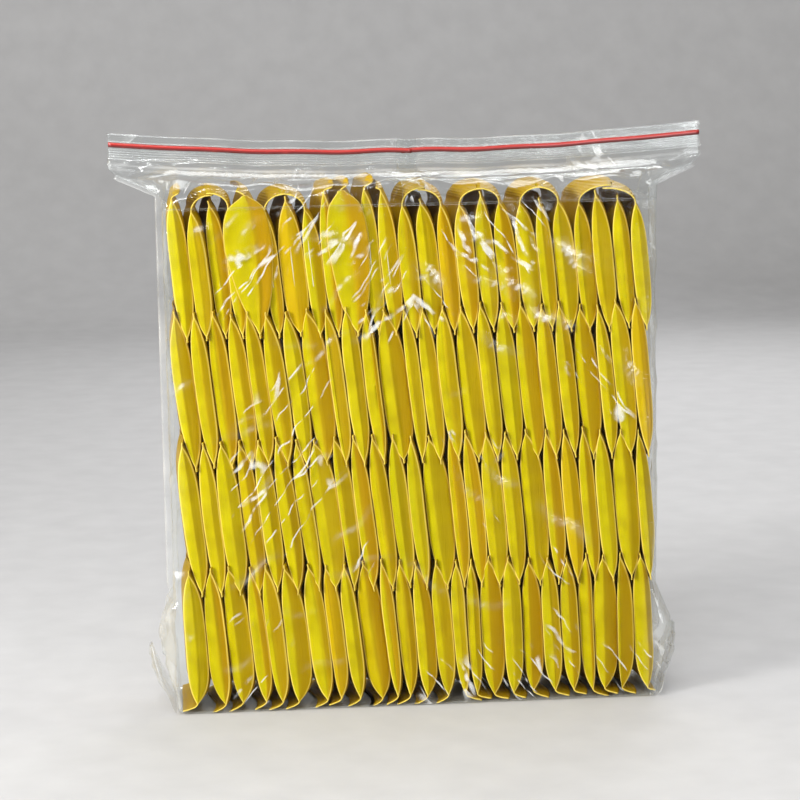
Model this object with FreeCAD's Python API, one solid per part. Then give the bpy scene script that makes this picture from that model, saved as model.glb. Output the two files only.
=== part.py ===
import FreeCAD, Part
import math
import os

# A resealable pack of pheromone lure sachets: a clear press-seal film bag, filled tight with
# yellow film sachets that stand on edge in rows.
# Units are millimetres. +X is the pack's width, -Y is its front and +Z is up. The origin is on
# the surface that it stands on, under the middle of the pack.

# Sachets: pillow packs with a flat weld at each end
ROWS = 4
COLUMNS = 25
STACKS = 5                      # nodes that each row of sachets is shared between
SACHET_WIDTH = 48.0             # front to back in the pack
SACHET_THICKNESS = 8.5
LENS_HEIGHT = 58.0              # filled length between the two welds
WELD_HEIGHT = 8.0               # flat weld at each end
WELD_THICKNESS = 0.5
SACHET_FILM = 0.25
SACHET_GAP = 0.4                # between two sachets side by side
ROW_OVERLAP = 13.5              # how far one row's welds stand between the next row's
TOP_WELD_TILT = 60.0            # degrees that the top row's upper welds fold over sideways
BOTTOM_WELD_TILT = 75.0         # the same for the bottom row's lower welds
FLOOR_GAP = 1.6                 # from the bag's bottom film to the folded welds

WELD_INSET = 2.0                # from a lens's tip to the end of its hollow

# Lure pad in each sachet
PAD_FACE_GAP = 0.8              # from the pad to the film at its thickest
PAD_END_GAP = 4.0
PAD_SIDE_GAP = 2.75

# Bag film
FILM = 0.4
FILL_GAP_X = 1.6                # from the outermost sachets to the side film
FILL_GAP_Y = 1.0                # from the sachets to the front and back film
TOP_GAP = 1.2                   # from the top row's welds to the shoulder of the film
SHOULDER_CLEARANCE = 0.4        # between the standing panels and the mouth film
WING_DROP = 9.5                 # how far the side seam's bend is below the shoulder
SEAM_WIDTH = 3.6
SEAM_FOOT = 44.0                # where the free edge of the seam ends, above the ear
HALF_SEAM = 0.3
SEAM_END_WIDTH = 2.2            # of the weld that closes each end of the header
SEAM_TOP_GAP = 0.5              # from the end weld to the lips' top edge
SEAM_FACE_GAP = 0.3             # from the seam to the mouth film on each side of it

# Header: grip lips and zip
HEADER_RISE = 9.5               # from the shoulder to the lips' lower edge at the ends
HEADER_HEIGHT = 15.0
HEADER_SAG = 6.0                # how far the middle of the header hangs below its ends
HEADER_TRIM = 1.0               # taken off each end of the header by its weld
LIP_FILM = 0.3
LIP_GAP = 2.0                   # between the inner faces of the two lips
MIDDLE_GAP = 0.6                # between the left and right half of a lip
ZIP_BELOW_TOP = 5.4             # from the lips' top edge to the middle of the zip
ZIP_BASE = 0.4                  # depth of each zip track's base
RIB_HEIGHT = 0.8
RIB_TIP_GAP = 0.3               # from the rib's tip to the groove's base
RIB_RUN_GAP = 0.26              # left beside the rib as it leaves the groove
JAW_HEIGHT = 0.6
JAW_TIP_GAP = 0.2               # from the jaws' tips to the rib's base
HINGE_TILT = 35.0               # degrees from upright of the line that each half lip turns about
ZIP_END_GAP = 3.6               # from the zip tracks' ends to the welded ends of the lips
RED_LINE_HEIGHT = 2.2
RED_LINE_DEPTH = 0.15
MOUTH_FILM = 0.35
MOUTH_END_GAP = 0.5             # from the mouth film to the header's end

# Bottom corner ears
EAR_LENGTH = 38.0
EAR_ANGLE = 70.0                # degrees above the floor at rest
EAR_FILM = 0.4
EAR_TIP = 4.0                   # width of the blunt tip
EAR_GAP = 0.5                   # from the side film to the ear's fold
EAR_SIDE_GAP = 1.0              # from the ear's fold ends to the front and back film

pitch = SACHET_THICKNESS + SACHET_GAP
row_pitch = LENS_HEIGHT + 2 * WELD_HEIGHT - ROW_OVERLAP
row_shift = pitch / 4
inner_half_width = COLUMNS * pitch / 2 + row_shift + FILL_GAP_X
half_width = inner_half_width + FILM
inner_half_depth = SACHET_WIDTH / 2 + FILL_GAP_Y
half_depth = inner_half_depth + FILM
room_half_thickness = SACHET_THICKNESS / 2 - SACHET_FILM
room_half_height = LENS_HEIGHT / 2 - WELD_INSET
room_width = SACHET_WIDTH - 2 * SACHET_FILM


def weld_rise(tilt):
    """Height that a weld takes when it is folded over sideways by tilt degrees."""
    lean = math.radians(tilt)
    return WELD_HEIGHT * math.cos(lean) + WELD_THICKNESS * math.sin(lean)


lowest_tip = FILM + FLOOR_GAP + weld_rise(BOTTOM_WELD_TILT)
bottom_row_middle = lowest_tip + LENS_HEIGHT / 2
highest_tip = bottom_row_middle + (ROWS - 1) * row_pitch + LENS_HEIGHT / 2
shoulder = highest_tip + weld_rise(TOP_WELD_TILT) + TOP_GAP

# A flat bag filled to a block is as wide, when flat, as the block's width and depth together.
half_header = half_width + half_depth - HEADER_TRIM
lip_foot = shoulder + HEADER_RISE
lip_top = lip_foot + HEADER_HEIGHT
zip_middle = lip_top - ZIP_BELOW_TOP
wing_bend = shoulder - WING_DROP
lip_face = LIP_GAP / 2

# The zip's rib and jaws reach across the space between the lips. A half lip that opens also
# rises, so the jaws stand clear of the rib by what it rises while the rib is still between them.
zip_space = LIP_GAP - 2 * ZIP_BASE
rib_depth = zip_space - RIB_TIP_GAP
jaw_depth = zip_space - JAW_TIP_GAP
engagement = rib_depth + jaw_depth - zip_space
rib_side_gap = engagement * math.tan(math.radians(HINGE_TILT)) + RIB_RUN_GAP


def vector(x, y, z):
    return FreeCAD.Vector(x, y, z)


def box(low, high):
    """A box between two corners."""
    size = [high[i] - low[i] for i in range(3)]
    return Part.makeBox(size[0], size[1], size[2], vector(*low))


def prism(points, direction):
    """A solid swept straight from the polygon through the points."""
    corners = [vector(*point) for point in points]
    wire = Part.makePolygon(corners + [corners[0]])
    return Part.Face(wire).extrude(vector(*direction))


def save(name, shapes):
    """Write one node: a single solid, or a group of separate ones."""
    shape = shapes[0] if len(shapes) == 1 else Part.makeCompound(shapes)
    shape.exportStep(os.path.join("parts", name + ".step"))


# Contents

def lens(half_thickness, half_height, depth):
    """A pillow's outline of two arcs, swept front to back and centred on the origin."""
    low = vector(0, -depth / 2, -half_height)
    high = vector(0, -depth / 2, half_height)
    left = Part.Arc(low, vector(-half_thickness, -depth / 2, 0), high).toShape()
    right = Part.Arc(high, vector(half_thickness, -depth / 2, 0), low).toShape()
    return Part.Face(Part.Wire([left, right])).extrude(vector(0, depth, 0))


def weld(tilt, end):
    """The flat weld at the upper (end 1) or lower (end -1) tip, tilted towards +X from upright."""
    root = end * (LENS_HEIGHT / 2 - WELD_INSET / 2)
    tip = end * LENS_HEIGHT / 2
    lean = math.radians(tilt)
    run = WELD_HEIGHT * math.sin(lean)
    rise = end * WELD_HEIGHT * math.cos(lean)
    across_x = WELD_THICKNESS / 2 * math.cos(lean)
    across_z = end * WELD_THICKNESS / 2 * math.sin(lean)
    front = -SACHET_WIDTH / 2
    half = WELD_THICKNESS / 2
    outline = [
        (-half, front, root),
        (half, front, root),
        (across_x, front, tip - across_z),
        (run + across_x, front, tip + rise - across_z),
        (run - across_x, front, tip + rise + across_z),
        (-across_x, front, tip + across_z),
    ]
    return prism(outline, (0, SACHET_WIDTH, 0))


def sachet(top_tilt, bottom_tilt):
    """One hollow sachet with its two welds."""
    skin = lens(SACHET_THICKNESS / 2, LENS_HEIGHT / 2, SACHET_WIDTH)
    skin = skin.fuse([weld(top_tilt, 1), weld(bottom_tilt, -1)]).removeSplitter()
    room = lens(room_half_thickness, room_half_height, room_width)
    return skin.cut(room).Solids[0]


def row_side(row):
    """Even rows stand a little to the right and odd rows to the left, so welds interleave."""
    return 1 if row % 2 == 0 else -1


def make_contents():
    pad = lens(room_half_thickness - PAD_FACE_GAP, room_half_height - PAD_END_GAP,
               room_width - 2 * PAD_SIDE_GAP)
    for row in range(1, ROWS + 1):
        middle = bottom_row_middle + (ROWS - row) * row_pitch
        top_tilt = -row_side(row) * TOP_WELD_TILT if row == 1 else 0.0
        bottom_tilt = -row_side(row) * BOTTOM_WELD_TILT if row == ROWS else 0.0
        pattern = sachet(top_tilt, bottom_tilt)
        first = row_side(row) * row_shift - (COLUMNS - 1) / 2 * pitch
        places = [vector(first + column * pitch, 0, middle) for column in range(COLUMNS)]
        for stack in range(STACKS):
            members = places[stack * COLUMNS // STACKS:(stack + 1) * COLUMNS // STACKS]
            name = "sachets_row_%d_stack_%d" % (row, stack + 1)
            save(name, [pattern.translated(place) for place in members])
        save("lure_pads_row_%d" % row, [pad.translated(place) for place in places])


# Standing part of the bag

def make_panels():
    top = shoulder - SHOULDER_CLEARANCE
    save("front_panel", [box((-half_width, -half_depth, 0), (half_width, -inner_half_depth, top))])
    save("back_panel", [box((-half_width, inner_half_depth, 0), (half_width, half_depth, top))])
    save("bottom_panel", [box((-inner_half_width, -inner_half_depth, 0),
                              (inner_half_width, inner_half_depth, FILM))])
    notch = wing_bend - SHOULDER_CLEARANCE
    for side, sign in (("left", -1), ("right", 1)):
        x = sign * inner_half_width
        outline = [
            (x, -inner_half_depth, 0),
            (x, inner_half_depth, 0),
            (x, inner_half_depth, top),
            (x, 0, notch),
            (x, -inner_half_depth, top),
        ]
        save(side + "_side_panel", [prism(outline, (sign * FILM, 0, 0))])


def make_seams():
    """Each side weld: the closed end of the header, the wing's edge and the free edge below."""
    outer = half_width + SEAM_WIDTH
    end = half_header - SEAM_END_WIDTH
    top = lip_top - SEAM_TOP_GAP
    rise = SEAM_END_WIDTH / 2
    for side, sign in (("left", -1), ("right", 1)):
        outline = [
            (half_header, top),
            (half_header, lip_foot - 2 * rise),
            (outer, wing_bend - rise),
            (outer, SEAM_FOOT),
            (half_width, SEAM_FOOT),
            (half_width, wing_bend + rise),
            (end, lip_foot + rise),
            (end, top),
        ]
        points = [(sign * x, -HALF_SEAM, z) for x, z in outline]
        save(side + "_side_seam", [prism(points, (0, 2 * HALF_SEAM, 0))])


def make_ears():
    """A blunt triangle of film at each end of the bottom, standing up at EAR_ANGLE."""
    rise = EAR_LENGTH * math.sin(math.radians(EAR_ANGLE))
    run = EAR_LENGTH * math.cos(math.radians(EAR_ANGLE))
    fold = half_width + EAR_GAP
    half_fold = half_depth - EAR_SIDE_GAP
    foot = EAR_FILM
    for side, sign in (("left", -1), ("right", 1)):
        outline = [
            (sign * fold, -half_fold, foot),
            (sign * fold, half_fold, foot),
            (sign * (fold + run), EAR_TIP / 2, foot + rise),
            (sign * (fold + run), -EAR_TIP / 2, foot + rise),
        ]
        save(side + "_ear", [prism(outline, (sign * EAR_FILM, 0, 0))])


# Header, made as a left and a right half so that the lips can bow apart

def header_line(sign, x, height):
    """A point's height on a header line that sags from the ends to the middle."""
    drop = HEADER_SAG * (1 - (x / half_header) ** 2)
    return sign * x, height - drop


def header_band(sign, start, stop, low, high, y_low, y_high):
    """A strip of the header between two sagging lines, from start to stop along X."""
    middle = (start + stop) / 2
    corners = {}
    for height in (low, high):
        for x in (start, middle, stop):
            place, z = header_line(sign, x, height)
            corners[(height, x)] = vector(place, y_low, z)
    lower = Part.Arc(corners[(low, start)], corners[(low, middle)], corners[(low, stop)])
    upper = Part.Arc(corners[(high, stop)], corners[(high, middle)], corners[(high, start)])
    outer = Part.makeLine(corners[(low, stop)], corners[(high, stop)])
    inner = Part.makeLine(corners[(high, start)], corners[(low, start)])
    wire = Part.Wire([lower.toShape(), outer, upper.toShape(), inner])
    return Part.Face(wire).extrude(vector(0, y_high - y_low, 0))


def mouth_film(sign, out):
    """Film from the lip's foot to the shoulder, with the triangle that closes the wing."""
    start = MIDDLE_GAP / 2
    edge = out * (lip_face + LIP_FILM)
    shoulder_y = out * half_depth
    top_points = []
    for x in (start, (start + half_header) / 2, half_header - MOUTH_END_GAP):
        place, z = header_line(sign, x, lip_foot - 2 * MOUTH_FILM)
        top_points.append(vector(place, edge, z))
    top_edge = Part.Arc(top_points[0], top_points[1], top_points[2]).toShape()
    corner = vector(sign * half_width, shoulder_y, shoulder)
    low_edge = Part.makeLine(vector(sign * start, shoulder_y, shoulder), corner)
    slope = Part.makeRuledSurface(top_edge, low_edge)
    bend_y = out * (HALF_SEAM + SEAM_FACE_GAP)
    bend = vector(sign * (half_width + SEAM_WIDTH / 2), bend_y, wing_bend)
    wing = Part.Face(Part.makePolygon([top_points[2], corner, bend, top_points[2]]))
    lift = vector(0, 0, MOUTH_FILM)
    return slope.extrude(lift).fuse(wing.extrude(lift))


def make_half_lip(side, sign, face, out):
    """One half of a lip: film, zip track, red line and mouth film; out is -1 on the front."""
    start = MIDDLE_GAP / 2
    zip_stop = half_header - ZIP_END_GAP
    inner = out * lip_face
    outer = out * (lip_face + LIP_FILM)

    def band(stop, low, high, y_a, y_b):
        return header_band(sign, start, stop, low, high, min(y_a, y_b), max(y_a, y_b))

    save("%s_lip_%s" % (face, side), [band(half_header, lip_foot, lip_top, inner, outer)])

    half_line = RED_LINE_HEIGHT / 2
    line_face = outer + out * RED_LINE_DEPTH
    save("%s_red_line_%s" % (face, side),
         [band(half_header, zip_middle - half_line, zip_middle + half_line, outer, line_face)])

    base = inner - out * ZIP_BASE
    jaw_low = RIB_HEIGHT / 2 + rib_side_gap
    jaw_high = jaw_low + JAW_HEIGHT
    track = band(zip_stop, zip_middle - jaw_high, zip_middle + jaw_high, inner, base)
    if face == "front":
        jaw_tip = base - out * jaw_depth
        upper = band(zip_stop, zip_middle + jaw_low, zip_middle + jaw_high, inner, jaw_tip)
        lower = band(zip_stop, zip_middle - jaw_high, zip_middle - jaw_low, inner, jaw_tip)
        save("front_zip_groove_%s" % side, [track.fuse([upper, lower]).removeSplitter()])
    else:
        rib_tip = base - out * rib_depth
        half_rib = RIB_HEIGHT / 2
        rib = band(zip_stop, zip_middle - half_rib, zip_middle + half_rib, inner, rib_tip)
        save("back_zip_rib_%s" % side, [track.fuse(rib).removeSplitter()])

    save("%s_mouth_film_%s" % (face, side), [mouth_film(sign, out)])


def make_header():
    for side, sign in (("left", -1), ("right", 1)):
        for face, out in (("front", -1), ("back", 1)):
            make_half_lip(side, sign, face, out)


os.makedirs("parts", exist_ok=True)
make_contents()
make_panels()
make_seams()
make_ears()
make_header()
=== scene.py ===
import math
import random

import bmesh
import bpy
import numpy as np
from mathutils import Matrix, Vector, noise


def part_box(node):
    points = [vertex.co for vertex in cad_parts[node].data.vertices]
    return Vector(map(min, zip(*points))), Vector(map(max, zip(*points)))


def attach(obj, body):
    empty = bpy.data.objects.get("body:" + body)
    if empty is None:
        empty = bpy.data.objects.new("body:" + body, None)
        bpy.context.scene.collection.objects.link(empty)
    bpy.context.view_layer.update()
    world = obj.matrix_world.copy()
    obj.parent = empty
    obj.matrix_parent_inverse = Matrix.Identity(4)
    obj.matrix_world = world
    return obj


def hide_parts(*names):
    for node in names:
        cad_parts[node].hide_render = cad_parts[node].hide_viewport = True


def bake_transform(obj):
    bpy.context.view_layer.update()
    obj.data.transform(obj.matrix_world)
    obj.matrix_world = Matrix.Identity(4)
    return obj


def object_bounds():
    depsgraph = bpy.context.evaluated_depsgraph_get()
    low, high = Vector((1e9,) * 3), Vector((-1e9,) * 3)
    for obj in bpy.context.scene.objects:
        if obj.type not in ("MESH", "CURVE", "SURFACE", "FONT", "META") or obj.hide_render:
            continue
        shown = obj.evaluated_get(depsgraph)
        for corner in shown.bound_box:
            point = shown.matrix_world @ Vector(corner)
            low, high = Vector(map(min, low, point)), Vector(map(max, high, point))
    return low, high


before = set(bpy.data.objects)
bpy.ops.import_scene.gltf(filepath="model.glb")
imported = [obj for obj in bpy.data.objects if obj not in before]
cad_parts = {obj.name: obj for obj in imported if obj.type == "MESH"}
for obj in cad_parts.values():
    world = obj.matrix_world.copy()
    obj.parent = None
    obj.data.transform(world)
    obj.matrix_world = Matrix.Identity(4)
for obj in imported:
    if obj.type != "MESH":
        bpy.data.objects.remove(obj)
cad_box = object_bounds()


# ---- Camera ------------------------------------------------------------------------------------
# A long lens a little left of the pack's middle and slightly above it, turned by about a degree,
# as a small product is looked at on a table.
scene = bpy.context.scene
scene.view_settings.view_transform = "Standard"
pack_width = cad_box[1].x - cad_box[0].x
pack_height = cad_box[1].z - cad_box[0].z
view_distance = 4.29 * pack_width
view_yaw = math.radians(4.7)
view_rise = math.radians(9.0)
view_roll = math.radians(-1.0)
view_aim = Vector((-0.018 * pack_width, 0.0, 0.526 * pack_height))

camera_data = bpy.data.cameras.new("camera")
camera_data.lens = 113.0
camera_data.sensor_width = 36.0
camera = bpy.data.objects.new("camera", camera_data)
scene.collection.objects.link(camera)
towards_camera = Vector((
    -math.sin(view_yaw) * math.cos(view_rise),
    -math.cos(view_yaw) * math.cos(view_rise),
    math.sin(view_rise),
))
camera_turn = (-towards_camera).to_track_quat("-Z", "Y").to_matrix()
camera.matrix_world = (
    Matrix.Translation(view_aim + view_distance * towards_camera)
    @ camera_turn.to_4x4()
    @ Matrix.Rotation(view_roll, 4, "Z")
)
scene.camera = camera
scene.cycles.transparent_max_bounces = 32


# ---- Studio ------------------------------------------------------------------------------------
# A pale matt sheet that runs back and sweeps up behind the pack, lit by a large soft light from
# the front left, a weaker one from the right, a light overhead and a narrow strip for the film.
def node_material(name):
    """An empty node material, its tree and its output node."""
    material = bpy.data.materials.new(name)
    material.use_nodes = True
    tree = material.node_tree
    tree.nodes.clear()
    output = tree.nodes.new("ShaderNodeOutputMaterial")
    return material, tree, output


def add_node(tree, kind, values=None, **settings):
    """One node with its settings, and with values for its sockets by name or number."""
    node = tree.nodes.new(kind)
    for key, value in settings.items():
        setattr(node, key, value)
    for key, value in (values or {}).items():
        node.inputs[key].default_value = value
    return node


def colour_steps(tree, source, steps):
    """A colour ramp fed by source; steps are pairs of place and linear colour."""
    ramp = add_node(tree, "ShaderNodeValToRGB")
    elements = ramp.color_ramp.elements
    while len(elements) < len(steps):
        elements.new(0.5)
    for element, (place, colour) in zip(elements, steps):
        element.position = place
        element.color = (*colour, 1.0)
    tree.links.new(source, ramp.inputs["Fac"])
    return ramp.outputs["Color"]


def sum_of(tree, operation, first, second, clamp=False):
    """A maths node; either side may be a socket or a number."""
    node = add_node(tree, "ShaderNodeMath", operation=operation, use_clamp=clamp)
    for place, side in enumerate((first, second)):
        if isinstance(side, (int, float)):
            node.inputs[place].default_value = side
        else:
            tree.links.new(side, node.inputs[place])
    return node.outputs[0]


def mesh_object(name, vertices, faces, material, smooth=True):
    """An object from points and faces, with one material and smooth or flat shading."""
    mesh = bpy.data.meshes.new(name)
    mesh.from_pydata([tuple(v) for v in vertices], [], faces)
    mesh.materials.append(material)
    mesh.validate()
    mesh.polygons.foreach_set("use_smooth", [smooth] * len(mesh.polygons))
    mesh.update()
    piece = bpy.data.objects.new(name, mesh)
    scene.collection.objects.link(piece)
    return piece


def face_outwards(piece, close_holes=False):
    """Merges what lies in one place, closes any holes asked for, and turns the faces outwards."""
    shape = bmesh.new()
    shape.from_mesh(piece.data)
    bmesh.ops.remove_doubles(shape, verts=shape.verts, dist=1e-6)
    if close_holes:
        bmesh.ops.holes_fill(shape, edges=shape.edges, sides=0)
    bmesh.ops.recalc_face_normals(shape, faces=shape.faces)
    shape.to_mesh(piece.data)
    shape.free()


def set_attribute(piece, name, values):
    """One number for each vertex, which a material reads by name."""
    attribute = piece.data.attributes.new(name, "FLOAT", "POINT")
    attribute.data.foreach_set("value", np.asarray(values, dtype=np.float32))


floor_material, tree, output = node_material("studio_paper")
coordinates = add_node(tree, "ShaderNodeTexCoord")
fibre = add_node(tree, "ShaderNodeTexNoise", {"Scale": 40.0, "Detail": 4.0})
tree.links.new(coordinates.outputs["Object"], fibre.inputs["Vector"])
paper = add_node(tree, "ShaderNodeBsdfPrincipled", {"Roughness": 0.75})
tree.links.new(
    colour_steps(tree, fibre.outputs["Fac"], [(0.3, (0.49, 0.49, 0.50)), (0.7, (0.53, 0.53, 0.54))]),
    paper.inputs["Base Color"],
)
tree.links.new(paper.outputs[0], output.inputs["Surface"])

sweep_half_width = 8.0 * pack_width
sweep_front = -8.0 * pack_width
sweep_back = 5.0 * pack_width
sweep_radius = 1.6 * pack_width
sweep_top = 7.0 * pack_width
profile = [(sweep_front, 0.0)]
for step in range(17):
    angle = math.radians(90.0 * step / 16)
    profile.append((
        sweep_back + sweep_radius * math.sin(angle),
        sweep_radius * (1.0 - math.cos(angle)),
    ))
profile.append((sweep_back + sweep_radius, sweep_top))
floor_points = []
for y, z in profile:
    floor_points.append((-sweep_half_width, y, z))
    floor_points.append((sweep_half_width, y, z))
floor_faces = [(2 * i, 2 * i + 1, 2 * i + 3, 2 * i + 2) for i in range(len(profile) - 1)]
floor = mesh_object("studio_floor", floor_points, floor_faces, floor_material)

world = bpy.data.worlds.new("studio_air")
scene.world = world
world.use_nodes = True
world.node_tree.nodes["Background"].inputs["Color"].default_value = (1.0, 0.98, 0.94, 1.0)
world.node_tree.nodes["Background"].inputs["Strength"].default_value = 0.36


def studio_light(name, place, size, power, colour=(1.0, 1.0, 1.0)):
    """A rectangular soft light that looks at the middle of the pack."""
    data = bpy.data.lights.new(name, "AREA")
    data.shape = "RECTANGLE"
    data.size = size[0]
    data.size_y = size[1]
    data.energy = power
    data.color = colour
    light = bpy.data.objects.new(name, data)
    scene.collection.objects.link(light)
    aim = Vector((0.0, 0.0, 0.5 * pack_height))
    turn = (aim - Vector(place)).to_track_quat("-Z", "Y").to_matrix().to_4x4()
    light.matrix_world = Matrix.Translation(place) @ turn
    return light


studio_light("key_light", (-1.25, -0.85, 0.62), (0.42, 0.42), 30.0, (1.0, 0.985, 0.95))
studio_light("fill_light", (0.55, -1.45, 0.40), (0.60, 0.60), 6.0, (0.97, 0.99, 1.0))
studio_light("top_light", (0.05, 0.15, 1.10), (0.80, 0.50), 3.5)
studio_light("strip_light", (-0.25, -1.05, 1.00), (0.55, 0.018), 8.0)
studio_light("back_light", (0.40, 1.20, 0.75), (0.60, 0.40), 6.0)


# ---- Yellow sachets ----------------------------------------------------------------------------
# A hundred pillow sachets of thin satin yellow film, packed on edge in four rows. Each is a flat
# tube round its pad, welded shut at the top and the bottom, and its narrow side faces forwards.
rows = (1, 2, 3, 4)
stacks = (1, 2, 3, 4, 5)
stack_size = 5
columns = stack_size * len(stacks)


def row_box(row):
    """Lowest and highest corner of a row's sachets."""
    boxes = [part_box(f"sachets_row_{row}_stack_{stack}") for stack in stacks]
    low = [min(b[0][axis] for b in boxes) for axis in range(3)]
    high = [max(b[1][axis] for b in boxes) for axis in range(3)]
    return Vector(low), Vector(high)


pad_boxes = {row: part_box(f"lure_pads_row_{row}") for row in rows}
row_middle = {row: (pad_boxes[row][0].z + pad_boxes[row][1].z) / 2 for row in rows}
row_pitch = row_middle[1] - row_middle[2]
second_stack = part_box("sachets_row_2_stack_2")[0].x
first_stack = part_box("sachets_row_2_stack_1")[0].x
pitch = (second_stack - first_stack) / stack_size
pad_height = pad_boxes[1][1].z - pad_boxes[1][0].z
pad_width = pad_boxes[1][1].y - pad_boxes[1][0].y
pad_thickness = pad_boxes[1][1].x - pad_boxes[1][0].x - (columns - 1) * pitch

crumple_group = bpy.data.node_groups.new("Film crumple", "ShaderNodeTree")
for label, kind in (
    ("Vector", "NodeSocketVector"), ("Scale", "NodeSocketFloat"),
    ("Stretch", "NodeSocketVector"), ("Fine Share", "NodeSocketFloat"),
):
    crumple_group.interface.new_socket(label, in_out="INPUT", socket_type=kind)
crumple_group.interface.new_socket("Height", in_out="OUTPUT", socket_type="NodeSocketFloat")
crumple_group.interface.new_socket("Blotch", in_out="OUTPUT", socket_type="NodeSocketFloat")
entry = crumple_group.nodes.new("NodeGroupInput")
leave = crumple_group.nodes.new("NodeGroupOutput")
stretched = add_node(crumple_group, "ShaderNodeVectorMath", operation="MULTIPLY")
broad = add_node(crumple_group, "ShaderNodeTexNoise", {"Detail": 3.0, "Roughness": 0.55, "Distortion": 0.6})
fine_scale = add_node(crumple_group, "ShaderNodeMath", {1: 5.0}, operation="MULTIPLY")
fine = add_node(crumple_group, "ShaderNodeTexNoise", {"Detail": 2.0, "Roughness": 0.5})
fine_part = add_node(crumple_group, "ShaderNodeMath", operation="MULTIPLY")
height_sum = add_node(crumple_group, "ShaderNodeMath", operation="ADD")
blotch = add_node(crumple_group, "ShaderNodeTexNoise", {"Detail": 3.0, "Roughness": 0.6})
blotch_scale = add_node(crumple_group, "ShaderNodeMath", {1: 0.35}, operation="MULTIPLY")
link = crumple_group.links.new
link(entry.outputs["Vector"], stretched.inputs[0])
link(entry.outputs["Stretch"], stretched.inputs[1])
link(stretched.outputs[0], broad.inputs["Vector"])
link(entry.outputs["Scale"], broad.inputs["Scale"])
link(entry.outputs["Scale"], fine_scale.inputs[0])
link(stretched.outputs[0], fine.inputs["Vector"])
link(fine_scale.outputs[0], fine.inputs["Scale"])
link(fine.outputs["Fac"], fine_part.inputs[0])
link(entry.outputs["Fine Share"], fine_part.inputs[1])
link(broad.outputs["Fac"], height_sum.inputs[0])
link(fine_part.outputs[0], height_sum.inputs[1])
link(entry.outputs["Vector"], blotch.inputs["Vector"])
link(entry.outputs["Scale"], blotch_scale.inputs[0])
link(blotch_scale.outputs[0], blotch.inputs["Scale"])
link(height_sum.outputs[0], leave.inputs["Height"])
link(blotch.outputs["Fac"], leave.inputs["Blotch"])


def crumple(tree, scale, stretch, fine_share):
    """The crumple group, placed in a material and fed with the piece's own coordinates."""
    coordinates = add_node(tree, "ShaderNodeTexCoord")
    group = add_node(tree, "ShaderNodeGroup", node_tree=crumple_group)
    group.inputs["Scale"].default_value = scale
    group.inputs["Stretch"].default_value = stretch
    group.inputs["Fine Share"].default_value = fine_share
    tree.links.new(coordinates.outputs["Object"], group.inputs["Vector"])
    return group


def attribute(tree, name):
    """A number that the mesh carries for each vertex."""
    return add_node(tree, "ShaderNodeAttribute", attribute_name=name).outputs["Fac"]


def between(tree, source, start, end):
    """0 at start and 1 at end, held between them."""
    node = add_node(tree, "ShaderNodeMapRange", {"From Min": start, "From Max": end})
    node.interpolation_type = "SMOOTHSTEP"
    tree.links.new(source, node.inputs["Value"])
    return node.outputs["Result"]


def blended_colour(tree, share, first, second):
    """A mix of two colours; each may be a socket or a linear colour."""
    node = add_node(tree, "ShaderNodeMix", data_type="RGBA")
    tree.links.new(share, node.inputs[0])
    for place, side in ((6, first), (7, second)):
        if isinstance(side, tuple):
            node.inputs[place].default_value = (*side, 1.0)
        else:
            tree.links.new(side, node.inputs[place])
    return node.outputs[2]


yellow_material, tree, output = node_material("satin_yellow_film")
streaks = crumple(tree, 260.0, (1.0, 1.0, 0.10), 0.35)
tone = attribute(tree, "tone")
base = colour_steps(tree, streaks.outputs["Blotch"], [
    (0.28, (0.37, 0.300, 0.001)), (0.50, (0.46, 0.385, 0.001)), (0.72, (0.54, 0.460, 0.001)),
])
ochre = blended_colour(tree, between(tree, tone, 0.2, 1.6), base, (0.54, 0.32, 0.001))
toned = blended_colour(tree, between(tree, tone, -0.2, -1.6), ochre, (0.42, 0.40, 0.001))
# Painted shade: the right half of each sachet face, away from the key light, mixes to a deeper ochre.
doubled = blended_colour(tree, attribute(tree, "doubled"), toned, (0.45, 0.255, 0.001))
line_share = between(tree, attribute(tree, "from_crease"), 0.00070, 0.00012)
line_share = sum_of(tree, "MULTIPLY", line_share, 0.85)
edged = blended_colour(tree, line_share, doubled, (0.92, 0.70, 0.14))
satin = add_node(tree, "ShaderNodeBsdfPrincipled", {
    "IOR": 1.45, "Specular IOR Level": 0.07,
})
tree.links.new(edged, satin.inputs["Base Color"])
shine = add_node(tree, "ShaderNodeMapRange", {"To Min": 0.36, "To Max": 0.56})
tree.links.new(streaks.outputs["Blotch"], shine.inputs["Value"])
tree.links.new(shine.outputs["Result"], satin.inputs["Roughness"])
crimp = add_node(tree, "ShaderNodeTexWave", {"Scale": 260.0, "Distortion": 0.4})
crimp.bands_direction = "Z"
coordinates = add_node(tree, "ShaderNodeTexCoord")
tree.links.new(coordinates.outputs["Object"], crimp.inputs["Vector"])
crimp_height = sum_of(tree, "MULTIPLY", crimp.outputs["Fac"], attribute(tree, "weld"))
relief = sum_of(tree, "ADD", streaks.outputs["Height"], crimp_height)
film_bump = add_node(tree, "ShaderNodeBump", {"Strength": 0.42, "Distance": 0.0006})
tree.links.new(relief, film_bump.inputs["Height"])
tree.links.new(film_bump.outputs[0], satin.inputs["Normal"])
tree.links.new(satin.outputs[0], output.inputs["Surface"])

sachet_box = row_box(2)
front_face = sachet_box[0].y
back_face = sachet_box[1].y
lens_half = 0.592 * row_pitch
weld_length = 0.028 * row_pitch
weld_half_thickness = 0.00026
neighbour_gap = 0.00010
ring_steps = 27
lean = {1: 0.150, 2: 0.150, 3: 0.130, 4: 0.078}

# Gaps from one bottom tip of the lowest row to the next, in sachet pitches, from the left.
tip_gaps = (
    1.5, 0.9, 1.2, 0.9, 0.8, 1.5, 0.7, 1.0, 1.2, 0.8, 0.6, 0.9,
    1.1, 0.9, 0.6, 0.9, 1.0, 1.0, 1.2, 1.0, 1.0, 0.6, 0.9, 1.4,
)
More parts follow.
